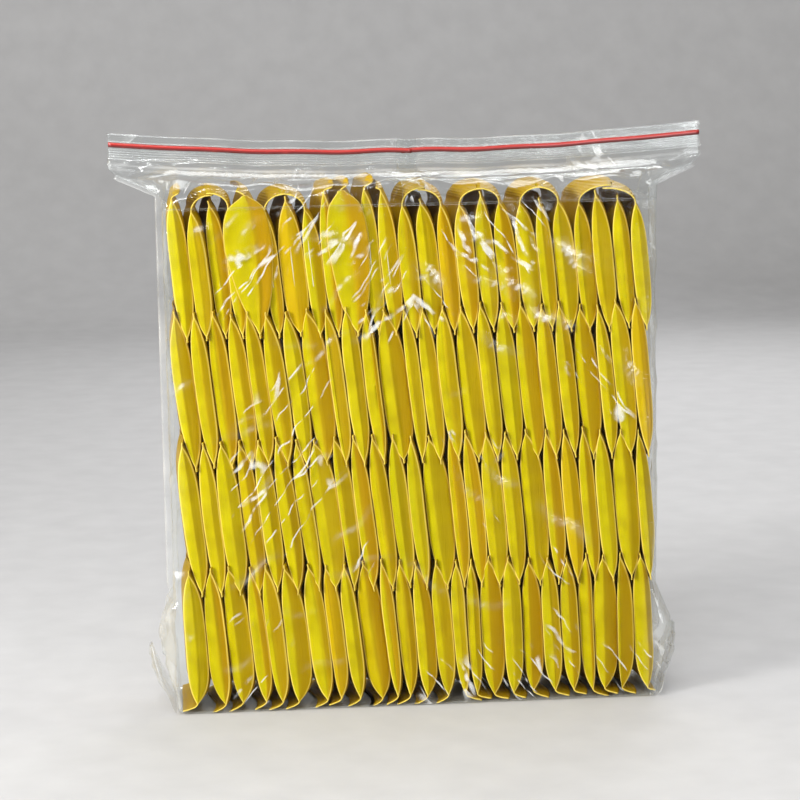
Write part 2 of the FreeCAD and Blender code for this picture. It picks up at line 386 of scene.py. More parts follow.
# Columns that swell wider than their neighbours, as row: {column: share of the room taken}.
wide_columns = {
    1: {4: 0.15, 6: 0.20, 9: 0.15, 13: 0.18, 20: 0.15},
    2: {7: 0.20, 11: 0.32, 15: 0.15, 21: 0.20},
    3: {2: 0.15, 7: 0.38, 13: 0.22, 18: 0.15, 23: 0.22},
    4: {2: 0.15, 9: 0.22, 16: 0.12, 22: 0.34},
}
# Sachets slumped flat against the front, as row and column: how much wider their face spreads.
spread_faces = {(1, 4): 2.4, (1, 9): 1.8}
# Top row: columns whose top welds meet over the ones between them, from the left.
arches = ((1, 3), (5, 7), (12, 14), (15, 17), (18, 20), (21, 24))

shuffle = random.Random(20)
tip_span = sum(tip_gaps)
column_pitch = 1.012 * pitch
left_end = -12 * column_pitch
# Mean place of each row's top tips, and of the lowest row's bottom tips, from the pack's middle.
top_offset = {4: -0.0015, 3: -0.0026, 2: -0.0042, 1: -0.0052}
bottom_offset = 0.0024
tip_limit = cad_box[1].x - 0.0268
bottoms = {4: [0.0]}
for gap in tip_gaps:
    bottoms[4].append(bottoms[4][-1] + gap * 24 * column_pitch / tip_span)
bottoms[4] = [left_end + x + bottom_offset for x in bottoms[4]]
tops = {}
for row in (4, 3, 2, 1):
    height = 2 * lens_half if row in (2, 3) else row_pitch
    evened = []
    for column in range(columns):
        regular = left_end + column * column_pitch
        slack = 0.62
        end_ease = min(1.0, 0.45 + 0.14 * column) * (1.0 - 0.55 * (column / columns) ** 1.5)
        leaned = bottoms[row][column] - lean[row] * height * end_ease
        evened.append(leaned + slack * (regular + top_offset[row] - leaned))
    tops[row] = [
        max(-tip_limit, min(tip_limit, x + shuffle.uniform(-0.0007, 0.0007))) for x in evened
    ]
    if row > 1:
        held = tops[row] + [tops[row][-1] + 0.95 * column_pitch]
        overlap = 2 * lens_half - row_pitch
        moved_over = 0.38 * overlap * (lean[row] + lean[row - 1])
        bottoms[row - 1] = [
            min(tip_limit, 0.5 * (left_tip + right_tip) + moved_over + shuffle.uniform(-0.0005, 0.0005))
            for left_tip, right_tip in zip(held[:columns], held[1:])
        ]


def soft_wave(seed, *places):
    """A smooth value from -1 to 1 that is the same each run."""
    source = random.Random(seed)
    total = 0.0
    for place in places:
        total += math.sin(place * source.uniform(0.7, 1.3) + source.uniform(0.0, 6.28))
    return total / len(places)


def centre_line(row, column, z):
    """Where a sachet's middle runs at a height; it bows a little between its tips."""
    low_z = row_middle[row] - lens_half
    share = (z - low_z) / (2 * lens_half)
    straight = bottoms[row][column] + (tops[row][column] - bottoms[row][column]) * share
    bow = 0.0005 * math.sin(math.pi * share) * soft_wave(row * 7 + column // 4, column * 0.9)
    return straight + bow


def shares(row):
    """For each gap between neighbours, how far from the left one's middle the boundary lies."""
    split = [0.5] * (columns + 1)
    for column in range(columns - 1):
        split[column] = 0.5 + shuffle.uniform(-0.07, 0.07)
    for column, extra in wide_columns[row].items():
        if column < columns - 1:
            split[column] += 0.6 * extra
        if column > 0:
            split[column - 1] -= 0.6 * extra
    return [min(0.85, max(0.15, share)) for share in split]


sachet_room = {}
side_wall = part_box("front_panel")[1].x - 0.0009


def depth_share(y):
    """How far back in the pack a place is: 0 at the sachets' front and 1 at their back."""
    return (y - front_face) / (back_face - front_face)


def sway_at(x, y):
    """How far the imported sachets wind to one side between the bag's front and its back."""
    ease = max(0.0, min(1.0, (side_wall - abs(x)) / 0.012))
    return 0.0021 * ease * math.sin(2 * math.pi * depth_share(y))


def tube_faces(first, rings_made, around):
    """Faces of a tube whose rings of points follow one another from the point first."""
    faces = []
    for ring in range(rings_made - 1):
        low = first + ring * around
        high = low + around
        for step in range(around):
            after = (step + 1) % around
            faces.append((low + step, low + after, high + after, high + step))
    return faces


def sachet_path(row, column, split, top_style, bottom_style):
    """Rings of one sachet from its bottom weld to its top weld.

    A ring is its middle, its side-to-side direction, its half-width to the left and to the
    right, how full it is, and whether it is weld."""
    middle_z = row_middle[row]
    low_z = middle_z - (lens_half if row < 4 else 0.488 * row_pitch)
    high_z = middle_z + (lens_half if row > 1 else 0.512 * row_pitch)
    low_z += shuffle.uniform(-0.0006, 0.0012) if row < 4 else shuffle.uniform(0.0, 0.0008)
    high_z += shuffle.uniform(-0.0016, 0.0010)
    if top_style[0] == "arch":
        high_z -= top_style[2]
    if top_style[0] == "under":
        high_z -= top_style[1]
    rings = []

    def bent_weld(start, heading, style, length, steps):
        """Points of a weld that leaves start along heading and curls to one side."""
        points = []
        place = Vector(start)
        direction = Vector(heading).normalized()
        for step in range(steps):
            turn = style * (0.5 ** (step + 1)) / (1.0 - 0.5 ** steps)
            direction = Matrix.Rotation(turn, 2) @ direction
            place = place + direction * (length / steps)
            points.append((place.copy(), direction.copy()))
        return points

    x_low = centre_line(row, column, low_z)
    x_high = centre_line(row, column, high_z)
    slope_low = Vector((centre_line(row, column, low_z + 0.004) - x_low, 0.004)).normalized()
    slope_high = Vector((x_high - centre_line(row, column, high_z - 0.004), 0.004)).normalized()

    turn, length = bottom_style
    steps = 8 if abs(turn) > 0.8 else 3
    weld = bent_weld((x_low, low_z), -slope_low, turn, length, steps)
    for place, direction in reversed(weld):
        rings.append((place, Vector((-direction.y, direction.x)), 0.0, 0.0, (0.0, 0.0), 1.0))

    top_power = shuffle.uniform(3.0, 4.2)
    bottom_power = shuffle.uniform(3.6, 5.0) if row < 4 else shuffle.uniform(4.5, 6.0)
    for step in range(ring_steps):
        share = 0.5 - 0.5 * math.cos(math.pi * step / (ring_steps - 1))
        z = low_z + share * (high_z - low_z)
        place = 2 * share - 1
        power = top_power if place > 0 else bottom_power
        bulk = 1.0 - abs(place) ** power
        core = 1.0 - abs(place) ** (1.4 * power)
        x = centre_line(row, column, z)
        left_x = centre_line(row, column - 1, z) if column > 0 else x - 1.0 * column_pitch
        right_x = centre_line(row, column + 1, z) if column < columns - 1 else x + 1.0 * column_pitch
        left_share = 1.0 - split[column - 1] if column > 0 else 0.5
        left = min(left_share * (x - left_x), x + side_wall) - neighbour_gap
        right = min(split[column] * (right_x - x), side_wall - x) - neighbour_gap
        if step == ring_steps // 2:
            sachet_room[row, column] = left + right
        rings.append((
            Vector((x, z)), Vector((1.0, -(slope_low.x + slope_high.x) / 2)).normalized(),
            left, right, (bulk, core), 0.0,
        ))

    if top_style[0] == "arch":
        reach, rise = top_style[1], top_style[2]
        for step in range(1, 10):
            angle = math.radians(96.0 * step / 9)
            place = Vector((
                x_high + reach * (1.0 - math.cos(angle)),
                high_z + rise * math.sin(angle),
            ))
            along = Vector((reach * math.sin(angle), rise * math.cos(angle))).normalized()
            rings.append((place, Vector((along.y, -along.x)), 0.0, 0.0, (0.0, 0.0), 1.0))
    else:
        turn, length = top_style[2], top_style[3]
        steps = 6 if abs(turn) > 0.5 else 3
        for place, direction in bent_weld((x_high, high_z), slope_high, turn, length, steps):
            rings.append((place, Vector((direction.y, -direction.x)), 0.0, 0.0, (0.0, 0.0), 1.0))
    return rings


lowest_film = 0.0008
top_heave = 0.0032          # how much higher the top row's welds stand midway from front to back
face_steps = (-1.0, -0.9, -0.62, -0.34, -0.1, 0.0, 0.1, 0.34, 0.62, 0.9, 1.0)
side_steps = (0.03, 0.14, 0.32, 0.5, 0.68, 0.86, 0.97)


def add_sachet(points, faces, marks, row, column, split, top_style, bottom_style):
    """Adds one sachet to the lists of points, faces and marks of its stack."""
    seed = 100 * row + column
    rings = sachet_path(row, column, split, top_style, bottom_style)
    ridge = shuffle.uniform(-0.35, 0.35)
    setback = shuffle.uniform(0.35, 0.80)
    facets = [shuffle.uniform(-0.00036, 0.00036) for _ in face_steps]
    facets[0] = facets[-1] = 0.0
    forward = front_face + shuffle.uniform(0.0, 0.0012)
    spread = spread_faces.get((row, column), 1.0)
    reach = [abs(column - other) for (other_row, other) in spread_faces if other_row == row]
    if spread > 1.0:
        forward = front_face
    elif reach and min(reach) <= 2:
        forward = front_face + 0.0024
    backward = back_face - shuffle.uniform(0.0, 0.0012)
    tone = max(-1.0, min(1.0, shuffle.gauss(0.0, 0.48)))
    first = len(points)
    edge_fill = shuffle.uniform(0.965, 1.0)
    # Painted shade: the right half of each face, turned from the key light, gets a deeper ochre yellow.
    right_face_shade = shuffle.uniform(0.35, 1.0)
    for number, (middle, across, left_room, right_room, (bulk, core), weld) in enumerate(rings):
        left = max(edge_fill * bulk * left_room, weld_half_thickness)
        right = max(edge_fill * bulk * right_room, weld_half_thickness)
        left_core = max(core * left_room, weld_half_thickness)
        right_core = max(core * right_room, weld_half_thickness)
        pulled = 0.0009 * bulk
        depth_wave = 0.0004 * soft_wave(seed, number * 0.45, number * 0.9)
        low_y = forward + pulled + depth_wave * bulk
        high_y = backward - pulled - depth_wave * bulk

        def put(offset, y, crease, turned=0.8):
            x = middle.x + across.x * offset
            z = max(lowest_film, middle.y + across.y * offset)
            if row == 1:
                near_top = max(0.0, min(1.0, (z - row_middle[1]) / lens_half - 0.45) / 0.4)
                z += top_heave * min(1.0, near_top) * math.sin(math.pi * depth_share(y)) ** 2
            points.append((x + sway_at(x, y), y, z))
            marks.append((crease, weld, tone, turned))

        def face_point(a, flip):
            half = left if a < 0 else right
            if not flip:
                rising = max(0.0, min(1.0, (middle.y - row_middle[row]) / lens_half + 0.85)) ** 0.8
                half *= 1.0 + (spread - 1.0) * min(1.0, rising) * min(1.0, 2.0 * bulk)
                if spread > 1.0 and bulk > 0.01:
                    half *= bulk ** (-0.5 * min(1.0, rising))
            back = min(setback * half, 0.0016 if spread > 1.0 and not flip else 1.0) * abs(a) ** 1.25
            shift = ridge * half * (1.0 - abs(a)) * 0.8
            back += facets[face_steps.index(a)] * bulk * (1.0 + 0.5 * math.sin(number * 0.35 + seed))
            y = low_y + back if not flip else high_y - back
            on_right = max(0.0, min(1.0, 0.5 + 2.5 * a))
            put(a * half + shift, y, half * (1.0 - abs(a)), right_face_shade * on_right)

        front_left_y = low_y + setback * left
        front_right_y = low_y + setback * right
        back_left_y = high_y - setback * left
        back_right_y = high_y - setback * right
        for a in face_steps:
            face_point(a, False)
        for s in side_steps:
            y = front_right_y + (back_right_y - front_right_y) * s
            dent = 0.03 * bulk * (1.0 + soft_wave(seed + 1, 9 * s, number * 0.35))
            belly = (4 * s * (1 - s)) ** 0.7
            put((right + (right_core - right) * belly) * (1.0 - dent), y, min(s, 1 - s) * 0.048)
        for a in reversed(face_steps):
            face_point(a, True)
        for s in reversed(side_steps):
            y = front_left_y + (back_left_y - front_left_y) * s
            dent = 0.03 * bulk * (1.0 + soft_wave(seed + 2, 9 * s, number * 0.35))
            belly = (4 * s * (1 - s)) ** 0.7
            put(-(left + (left_core - left) * belly) * (1.0 - dent), y, min(s, 1 - s) * 0.048)
    around = 2 * len(face_steps) + 2 * len(side_steps)
    faces += tube_faces(first, len(rings), around)
    last = first + (len(rings) - 1) * around
    faces.append(tuple(first + step for step in reversed(range(around))))
    faces.append(tuple(last + step for step in range(around)))


def top_styles(row):
    """How each top weld of a row ends: straight, curled over, an arch, or under an arch."""
    styles = []
    for column in range(columns):
        if row > 1:
            styles.append(("free", 0.0, shuffle.uniform(-0.25, 0.25), weld_length))
        else:
            turn = shuffle.choice((-1.4, -1.2, 1.1, 1.4))
            styles.append(("free", 0.0, turn, shuffle.uniform(0.0025, 0.0050)))
    if row == 1:
        for start, end in arches:
            distance = tops[1][end] - tops[1][start]
            rise = 0.0052 + 0.12 * distance + shuffle.uniform(-0.0006, 0.0006)
            styles[start] = ("arch", 0.52 * distance, rise)
            styles[end] = ("arch", -0.52 * distance, rise - 0.0007)
            for inside in range(start + 1, end):
                styles[inside] = (
                    "under", 0.45 * rise + shuffle.uniform(0.0, 0.0025),
                    shuffle.uniform(-0.3, 0.3), 0.0020,
                )
    return styles


for row in rows:
    split = shares(row)
    styles = top_styles(row)
    for stack in stacks:
        points, faces, marks = [], [], []
        for column in range((stack - 1) * stack_size, stack * stack_size):
            if row < 4:
                bottom_style = (shuffle.uniform(-0.25, 0.25), weld_length)
            else:
                side = -1 if column < 14 else 1
                bend, length = shuffle.uniform(1.22, 1.36), shuffle.uniform(0.0065, 0.0085)
                length = min(length, max(0.0012, side_wall - side * bottoms[4][column]))
                bottom_style = (side * bend, length)
            add_sachet(points, faces, marks, row, column, split, styles[column], bottom_style)
        pouches = mesh_object(f"pouches_row_{row}_stack_{stack}", points, faces, yellow_material)
        for place, name in enumerate(("from_crease", "weld", "tone", "doubled")):
            set_attribute(pouches, name, [mark[place] for mark in marks])
        face_outwards(pouches)
        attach(pouches, "bag_body")
        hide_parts(f"sachets_row_{row}_stack_{stack}")


# ---- Lure pads ---------------------------------------------------------------------------------
# Soaked cellulose pads, one loose in each sachet. Each is a crowned lens of pressed fibre, and
# a row of them is set out by Geometry Nodes. The sachets hide them.
pad_material, tree, output = node_material("pressed_fibre")
coordinates = add_node(tree, "ShaderNodeTexCoord")
fibres = add_node(tree, "ShaderNodeTexNoise", {"Scale": 900.0, "Detail": 6.0, "Roughness": 0.65})
soak = add_node(tree, "ShaderNodeTexNoise", {"Scale": 60.0, "Detail": 2.0})
tree.links.new(coordinates.outputs["Object"], fibres.inputs["Vector"])
tree.links.new(coordinates.outputs["Object"], soak.inputs["Vector"])
pad_shader = add_node(tree, "ShaderNodeBsdfPrincipled", {"Roughness": 0.85})
tree.links.new(
    colour_steps(tree, soak.outputs["Fac"], [(0.35, (0.62, 0.55, 0.38)), (0.65, (0.76, 0.72, 0.60))]),
    pad_shader.inputs["Base Color"],
)
pad_bump = add_node(tree, "ShaderNodeBump", {"Strength": 0.5, "Distance": 0.0004})
tree.links.new(fibres.outputs["Fac"], pad_bump.inputs["Height"])
tree.links.new(pad_bump.outputs[0], pad_shader.inputs["Normal"])
tree.links.new(pad_shader.outputs[0], output.inputs["Surface"])


def crowned_pad():
    """One pad about its own middle: three rings on each side of a rounded rectangle, and poles."""
    around = 12
    levels = ((0.0, 1.0), (0.6, 0.86), (0.92, 0.5))
    points = []
    for side in (-1, 1):
        for rise, size in levels if side > 0 else levels[1:]:
            for step in range(around):
                angle = 2 * math.pi * step / around
                corner = (abs(math.cos(angle)) ** 4 + abs(math.sin(angle)) ** 4) ** -0.25
                points.append((
                    side * rise * pad_thickness / 2,
                    size * corner * math.cos(angle) * pad_width / 2,
                    size * corner * math.sin(angle) * pad_height / 2,
                ))
    poles = [(-pad_thickness / 2, 0.0, 0.0), (pad_thickness / 2, 0.0, 0.0)]
    order = [1, 0, 2, 3, 4]
    faces = []
    for lower, glint_weight in zip(order[:-1], order[1:]):
        for step in range(around):
            after = (step + 1) % around
            faces.append((
                lower * around + step, lower * around + after,
                glint_weight * around + after, glint_weight * around + step,
            ))
    count = len(points)
    for step in range(around):
        after = (step + 1) % around
        faces.append((count, order[0] * around + after, order[0] * around + step))
        faces.append((count + 1, order[-1] * around + step, order[-1] * around + after))
    return points + poles, faces


def socket_by_name(tree, name):
    """The identifier of a tree's named input."""
    for item in tree.interface.items_tree:
        if item.name == name and getattr(item, "in_out", "") == "INPUT":
            return item.identifier
    raise KeyError(name)


def new_geometry_tree(name, inputs):
    """A Geometry Nodes tree with a geometry input and output and named number inputs."""
    tree = bpy.data.node_groups.new(name, "GeometryNodeTree")
    tree.interface.new_socket("Geometry", in_out="INPUT", socket_type="NodeSocketGeometry")
    for label, kind in inputs:
        tree.interface.new_socket(label, in_out="INPUT", socket_type=kind)
    tree.interface.new_socket("Geometry", in_out="OUTPUT", socket_type="NodeSocketGeometry")
    return tree, tree.nodes.new("NodeGroupInput"), tree.nodes.new("NodeGroupOutput")


def bake_geometry(piece, tree, values):
    """Runs a tree on a piece and keeps the result as its plain mesh, with no modifier left."""
    modifier = piece.modifiers.new(tree.name, "NODES")
    modifier.node_group = tree
    for label, value in values.items():
        modifier[socket_by_name(tree, label)] = value
    bpy.context.view_layer.update()
    evaluated = piece.evaluated_get(bpy.context.evaluated_depsgraph_get())
    mesh = bpy.data.meshes.new_from_object(evaluated)
    piece.modifiers.remove(modifier)
    old_mesh = piece.data
    piece.data = mesh
    mesh.name = piece.name
    bpy.data.meshes.remove(old_mesh)


pad_row_tree, entry, leave = new_geometry_tree("row_of_pads", [("Pad", "NodeSocketObject")])
pad_shape = add_node(pad_row_tree, "GeometryNodeObjectInfo")
lean_of = add_node(pad_row_tree, "GeometryNodeInputNamedAttribute", {"Name": "lean"}, data_type="FLOAT")
room_of = add_node(pad_row_tree, "GeometryNodeInputNamedAttribute", {"Name": "room"}, data_type="FLOAT")
pad_turn = add_node(pad_row_tree, "ShaderNodeCombineXYZ")
pad_size = add_node(pad_row_tree, "ShaderNodeCombineXYZ", {"Y": 1.0, "Z": 1.0})
place_pads = add_node(pad_row_tree, "GeometryNodeInstanceOnPoints")
realize = add_node(pad_row_tree, "GeometryNodeRealizeInstances")
paint = add_node(pad_row_tree, "GeometryNodeSetMaterial", {"Material": pad_material})
link = pad_row_tree.links.new
link(entry.outputs["Pad"], pad_shape.inputs["Object"])
link(entry.outputs["Geometry"], place_pads.inputs["Points"])
link(pad_shape.outputs["Geometry"], place_pads.inputs["Instance"])
link(lean_of.outputs["Attribute"], pad_turn.inputs["Y"])
link(room_of.outputs["Attribute"], pad_size.inputs["X"])
link(pad_turn.outputs[0], place_pads.inputs["Rotation"])
link(pad_size.outputs[0], place_pads.inputs["Scale"])
link(place_pads.outputs[0], realize.inputs[0])
link(realize.outputs[0], paint.inputs["Geometry"])
link(paint.outputs[0], leave.inputs[0])

one_pad = mesh_object("one_pad", *crowned_pad(), pad_material)
face_outwards(one_pad)
for row in rows:
    middles, leans, rooms = [], [], []
    for column in range(columns):
        x = centre_line(row, column, row_middle[row])
        above = centre_line(row, column, row_middle[row] + 0.01)
        middles.append((x, 0.0, row_middle[row]))
        leans.append(math.atan2(above - x, 0.01))
        rooms.append(0.86 * min(1.0, sachet_room[row, column] / pad_thickness))
    pads = mesh_object(f"pads_row_{row}", middles, [], pad_material)
    set_attribute(pads, "lean", leans)
    set_attribute(pads, "room", rooms)
    bake_geometry(pads, pad_row_tree, {"Pad": one_pad})
    pads.data.polygons.foreach_set("use_smooth", [True] * len(pads.data.polygons))
    for point in pads.data.vertices:
        point.co.x += sway_at(point.co.x, point.co.y)
    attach(pads, "bag_body")
    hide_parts(f"lure_pads_row_{row}")
bpy.data.objects.remove(one_pad)


# ---- Bag ---------------------------------------------------------------------------------------
# The filled part of a clear polyethylene press-seal bag. Two sheets are welded at the sides, and
# the load makes them a box with rounded upright corners, a flat base and pulled diagonal creases.
# Thin diagonal white lines in patches along pulled creases: painted glints that stand in for the lights'
# reflection on the film.
glint_line_group = bpy.data.node_groups.new("Pulled creases", "ShaderNodeTree")
for label, kind in (
    ("Vector", "NodeSocketVector"), ("Angle", "NodeSocketFloat"), ("Cells", "NodeSocketVector"),
):
    glint_line_group.interface.new_socket(label, in_out="INPUT", socket_type=kind)
glint_line_group.interface.new_socket("Line", in_out="OUTPUT", socket_type="NodeSocketFloat")
entry = glint_line_group.nodes.new("NodeGroupInput")
leave = glint_line_group.nodes.new("NodeGroupOutput")
split_place = add_node(glint_line_group, "ShaderNodeSeparateXYZ")
mirrored = add_node(glint_line_group, "ShaderNodeCombineXYZ")
wander = add_node(glint_line_group, "ShaderNodeTexNoise", {"Scale": 55.0, "Detail": 2.0})
wander_size = add_node(glint_line_group, "ShaderNodeVectorMath", {1: (0.009, 0.009, 0.009)}, operation="MULTIPLY")
wandered = add_node(glint_line_group, "ShaderNodeVectorMath", operation="ADD")
turned_place = add_node(glint_line_group, "ShaderNodeVectorRotate", rotation_type="Y_AXIS")
in_cells = add_node(glint_line_group, "ShaderNodeVectorMath", operation="MULTIPLY")
cells = add_node(glint_line_group, "ShaderNodeTexVoronoi", {"Scale": 1.0}, feature="DISTANCE_TO_EDGE")
patches = add_node(glint_line_group, "ShaderNodeTexNoise", {"Scale": 26.0, "Detail": 2.0})
breaks = add_node(glint_line_group, "ShaderNodeTexNoise", {"Scale": 190.0, "Detail": 1.0})
link = glint_line_group.links.new
link(entry.outputs["Vector"], split_place.inputs[0])
link(sum_of(glint_line_group, "ABSOLUTE", split_place.outputs["X"], 0.0), mirrored.inputs["X"])
link(split_place.outputs["Y"], mirrored.inputs["Y"])
link(split_place.outputs["Z"], mirrored.inputs["Z"])
link(entry.outputs["Vector"], wander.inputs["Vector"])
link(wander.outputs["Color"], wander_size.inputs[0])
link(mirrored.outputs[0], wandered.inputs[0])
link(wander_size.outputs[0], wandered.inputs[1])
link(wandered.outputs[0], turned_place.inputs["Vector"])
link(entry.outputs["Angle"], turned_place.inputs["Angle"])
link(turned_place.outputs[0], in_cells.inputs[0])
link(entry.outputs["Cells"], in_cells.inputs[1])
link(in_cells.outputs[0], cells.inputs["Vector"])
link(entry.outputs["Vector"], patches.inputs["Vector"])
link(entry.outputs["Vector"], breaks.inputs["Vector"])
thin = between(glint_line_group, cells.outputs["Distance"], 0.055, 0.010)
some = between(glint_line_group, patches.outputs["Fac"], 0.57, 0.66)
broken = between(glint_line_group, breaks.outputs["Fac"], 0.36, 0.60)
glint_line = sum_of(glint_line_group, "MULTIPLY", sum_of(glint_line_group, "MULTIPLY", thin, some), broken)
link(glint_line, leave.inputs["Line"])


def clear_film(name, glint_gain, roughness):
    """Thin clear film: mostly see-through, mirror-like at a slant, milky where it is creased, with painted
    glints as thin white crease lines.
    """
    material, tree, output = node_material(name)
    folds = crumple(tree, 120.0, (1.0, 1.0, 1.0), 0.30)
    bump = add_node(tree, "ShaderNodeBump", {"Strength": 0.55, "Distance": 0.0007})
    tree.links.new(folds.outputs["Height"], bump.inputs["Height"])
    clear = add_node(tree, "ShaderNodeBsdfTransparent", {"Color": (0.975, 0.98, 0.98, 1.0)})
    skin = add_node(tree, "ShaderNodeBsdfPrincipled", {"IOR": 1.5})
    tint = colour_steps(tree, folds.outputs["Blotch"], [
        (0.3, (0.80, 0.82, 0.83)), (0.7, (0.95, 0.96, 0.96)),
    ])
    tree.links.new(tint, skin.inputs["Base Color"])
    gloss = add_node(tree, "ShaderNodeMapRange", {"To Min": 0.6 * roughness, "To Max": 1.4 * roughness})
    tree.links.new(folds.outputs["Blotch"], gloss.inputs["Value"])
    tree.links.new(gloss.outputs["Result"], skin.inputs["Roughness"])
    tree.links.new(bump.outputs[0], skin.inputs["Normal"])
    mirror = add_node(tree, "ShaderNodeFresnel", {"IOR": 1.55})
    tree.links.new(bump.outputs[0], mirror.inputs["Normal"])
    patchy = between(tree, folds.outputs["Blotch"], 0.30, 0.70)
    patchy = sum_of(tree, "ADD", sum_of(tree, "MULTIPLY", patchy, 0.7), 0.45)
    haze = sum_of(tree, "MULTIPLY", attribute(tree, "haze"), patchy)
    pulled = add_node(tree, "ShaderNodeGroup", node_tree=glint_line_group)
    pulled.inputs["Angle"].default_value = math.radians(38.0)
    pulled.inputs["Cells"].default_value = (135.0, 30.0, 13.0)
    place = add_node(tree, "ShaderNodeTexCoord")
    tree.links.new(place.outputs["Object"], pulled.inputs["Vector"])
    # The painted glint lines add to the haze, so they show as white lines on the film.
    haze = sum_of(tree, "ADD", haze, sum_of(tree, "MULTIPLY", pulled.outputs["Line"], glint_gain))
    milky = add_node(tree, "ShaderNodeMapRange", {"From Max": 0.14, "To Min": 0.85, "To Max": 0.15})
    tree.links.new(haze, milky.inputs["Value"])
    tree.links.new(milky.outputs["Result"], skin.inputs["Metallic"])
    slant = sum_of(tree, "MULTIPLY", mirror.outputs[0], 0.24)
    slant = sum_of(tree, "MAXIMUM", sum_of(tree, "SUBTRACT", slant, 0.009), 0.001)
    share = sum_of(tree, "ADD", slant, haze, clamp=True)
    mix = add_node(tree, "ShaderNodeMixShader")
    tree.links.new(share, mix.inputs["Fac"])
    tree.links.new(clear.outputs[0], mix.inputs[1])
    tree.links.new(skin.outputs[0], mix.inputs[2])
    tree.links.new(mix.outputs[0], output.inputs["Surface"])
    return material


bag_film = clear_film("clear_bag_film", 0.42, 0.07)
film_thickness = 0.00006
panel_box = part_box("front_panel")
mouth_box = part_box("front_mouth_film_right")
half_width = panel_box[1].x - 0.0002
half_depth = -panel_box[0].y - 0.0002
join_height = mouth_box[0].z
corner_radius = 0.0048
base_radius = 0.0022

front_step, side_step = 0.0018, 0.0025
front_count = int(2 * (half_width - corner_radius) / front_step)
side_count = int(2 * (half_depth - corner_radius) / side_step)
corner_count = 5


def rounded_loop(inset):
    """Points round the pack, from the front left corner, with the outward direction at each."""
    wide, deep = half_width - inset, half_depth - inset
    radius = max(corner_radius - inset, 0.00005)
    radius = min(radius, wide, deep)
    loop = []
    sides = (
        ((-1, -1), (1, -1), (0, -1), front_count), ((1, -1), (1, 1), (1, 0), side_count),
        ((1, 1), (-1, 1), (0, 1), front_count), ((-1, 1), (-1, -1), (-1, 0), side_count),
    )
    for start, end, out, count in sides:
        along = (end[0] - start[0], end[1] - start[1])
        a = (start[0] * (wide - radius) + out[0] * radius, start[1] * (deep - radius) + out[1] * radius)
        b = (end[0] * (wide - radius) + out[0] * radius, end[1] * (deep - radius) + out[1] * radius)
        for step in range(count):
            share = step / count
            loop.append((a[0] + (b[0] - a[0]) * share, a[1] + (b[1] - a[1]) * share, *out))
        out_angle = math.atan2(out[1], out[0])
        centre = (end[0] * (wide - radius), end[1] * (deep - radius))
        for step in range(corner_count):
            angle = out_angle + math.radians(90.0 * step / corner_count)
            loop.append((
                centre[0] + radius * math.cos(angle), centre[1] + radius * math.sin(angle),
                math.cos(angle), math.sin(angle),
            ))
    return loop


# Pulled creases, most of them near the top and sloping in towards the strip's middle. Each is
# its face, the x and z of its middle, its slope in radians, and its length, width and height.
creases = random.Random(5)
crease_lines = []
for face in (-1, 1):
    for number in range(58):
        x = creases.uniform(-0.95, 0.95)
        z = 1.0 - 0.95 * creases.random() ** 1.7
        slope = creases.gauss(38.0, 12.0) * (1 if x < -0.05 else -1)
        if creases.random() < 0.28:
            slope = creases.gauss(0.0, 7.0)
        crease_lines.append((
            face, x * half_width, z * join_height, math.radians(slope),
            creases.uniform(0.009, 0.036), creases.uniform(0.0007, 0.0015),
            creases.uniform(0.00035, 0.00105) * creases.choice((1, 1, -0.4)),
        ))
crease_table = np.array(crease_lines)


def crease_relief(face, x, z):
    """Height of the pulled creases at a place on the front or the back, and how creased it is."""
    near = crease_table[crease_table[:, 0] == face]
    dx = x - near[:, 1]
    dz = z - near[:, 2]
    along = dx * np.cos(near[:, 3]) + dz * np.sin(near[:, 3])
    across = -dx * np.sin(near[:, 3]) + dz * np.cos(near[:, 3])
    window = np.clip(1.0 - (2 * along / near[:, 4]) ** 2, 0.0, 1.0)
    wave = across - 0.0014 * np.sin(along * 260.0 + near[:, 1] * 900.0)
    ridge = np.exp(-np.abs(wave / near[:, 5]) ** 1.6) * window
    return float((ridge * near[:, 6]).sum()), float((ridge * (near[:, 6] > 0)).max())


def crumple_at(place, scale, seed):
    """Ridged crumples of a limp film, from about -1 to 1."""
    spot = Vector(place) * scale + Vector((seed, 2.3 * seed, -1.7 * seed))
    return 1.6 * noise.ridged_multi_fractal(spot, 0.9, 2.1, 2, 0.9, 1.6) - 1.3


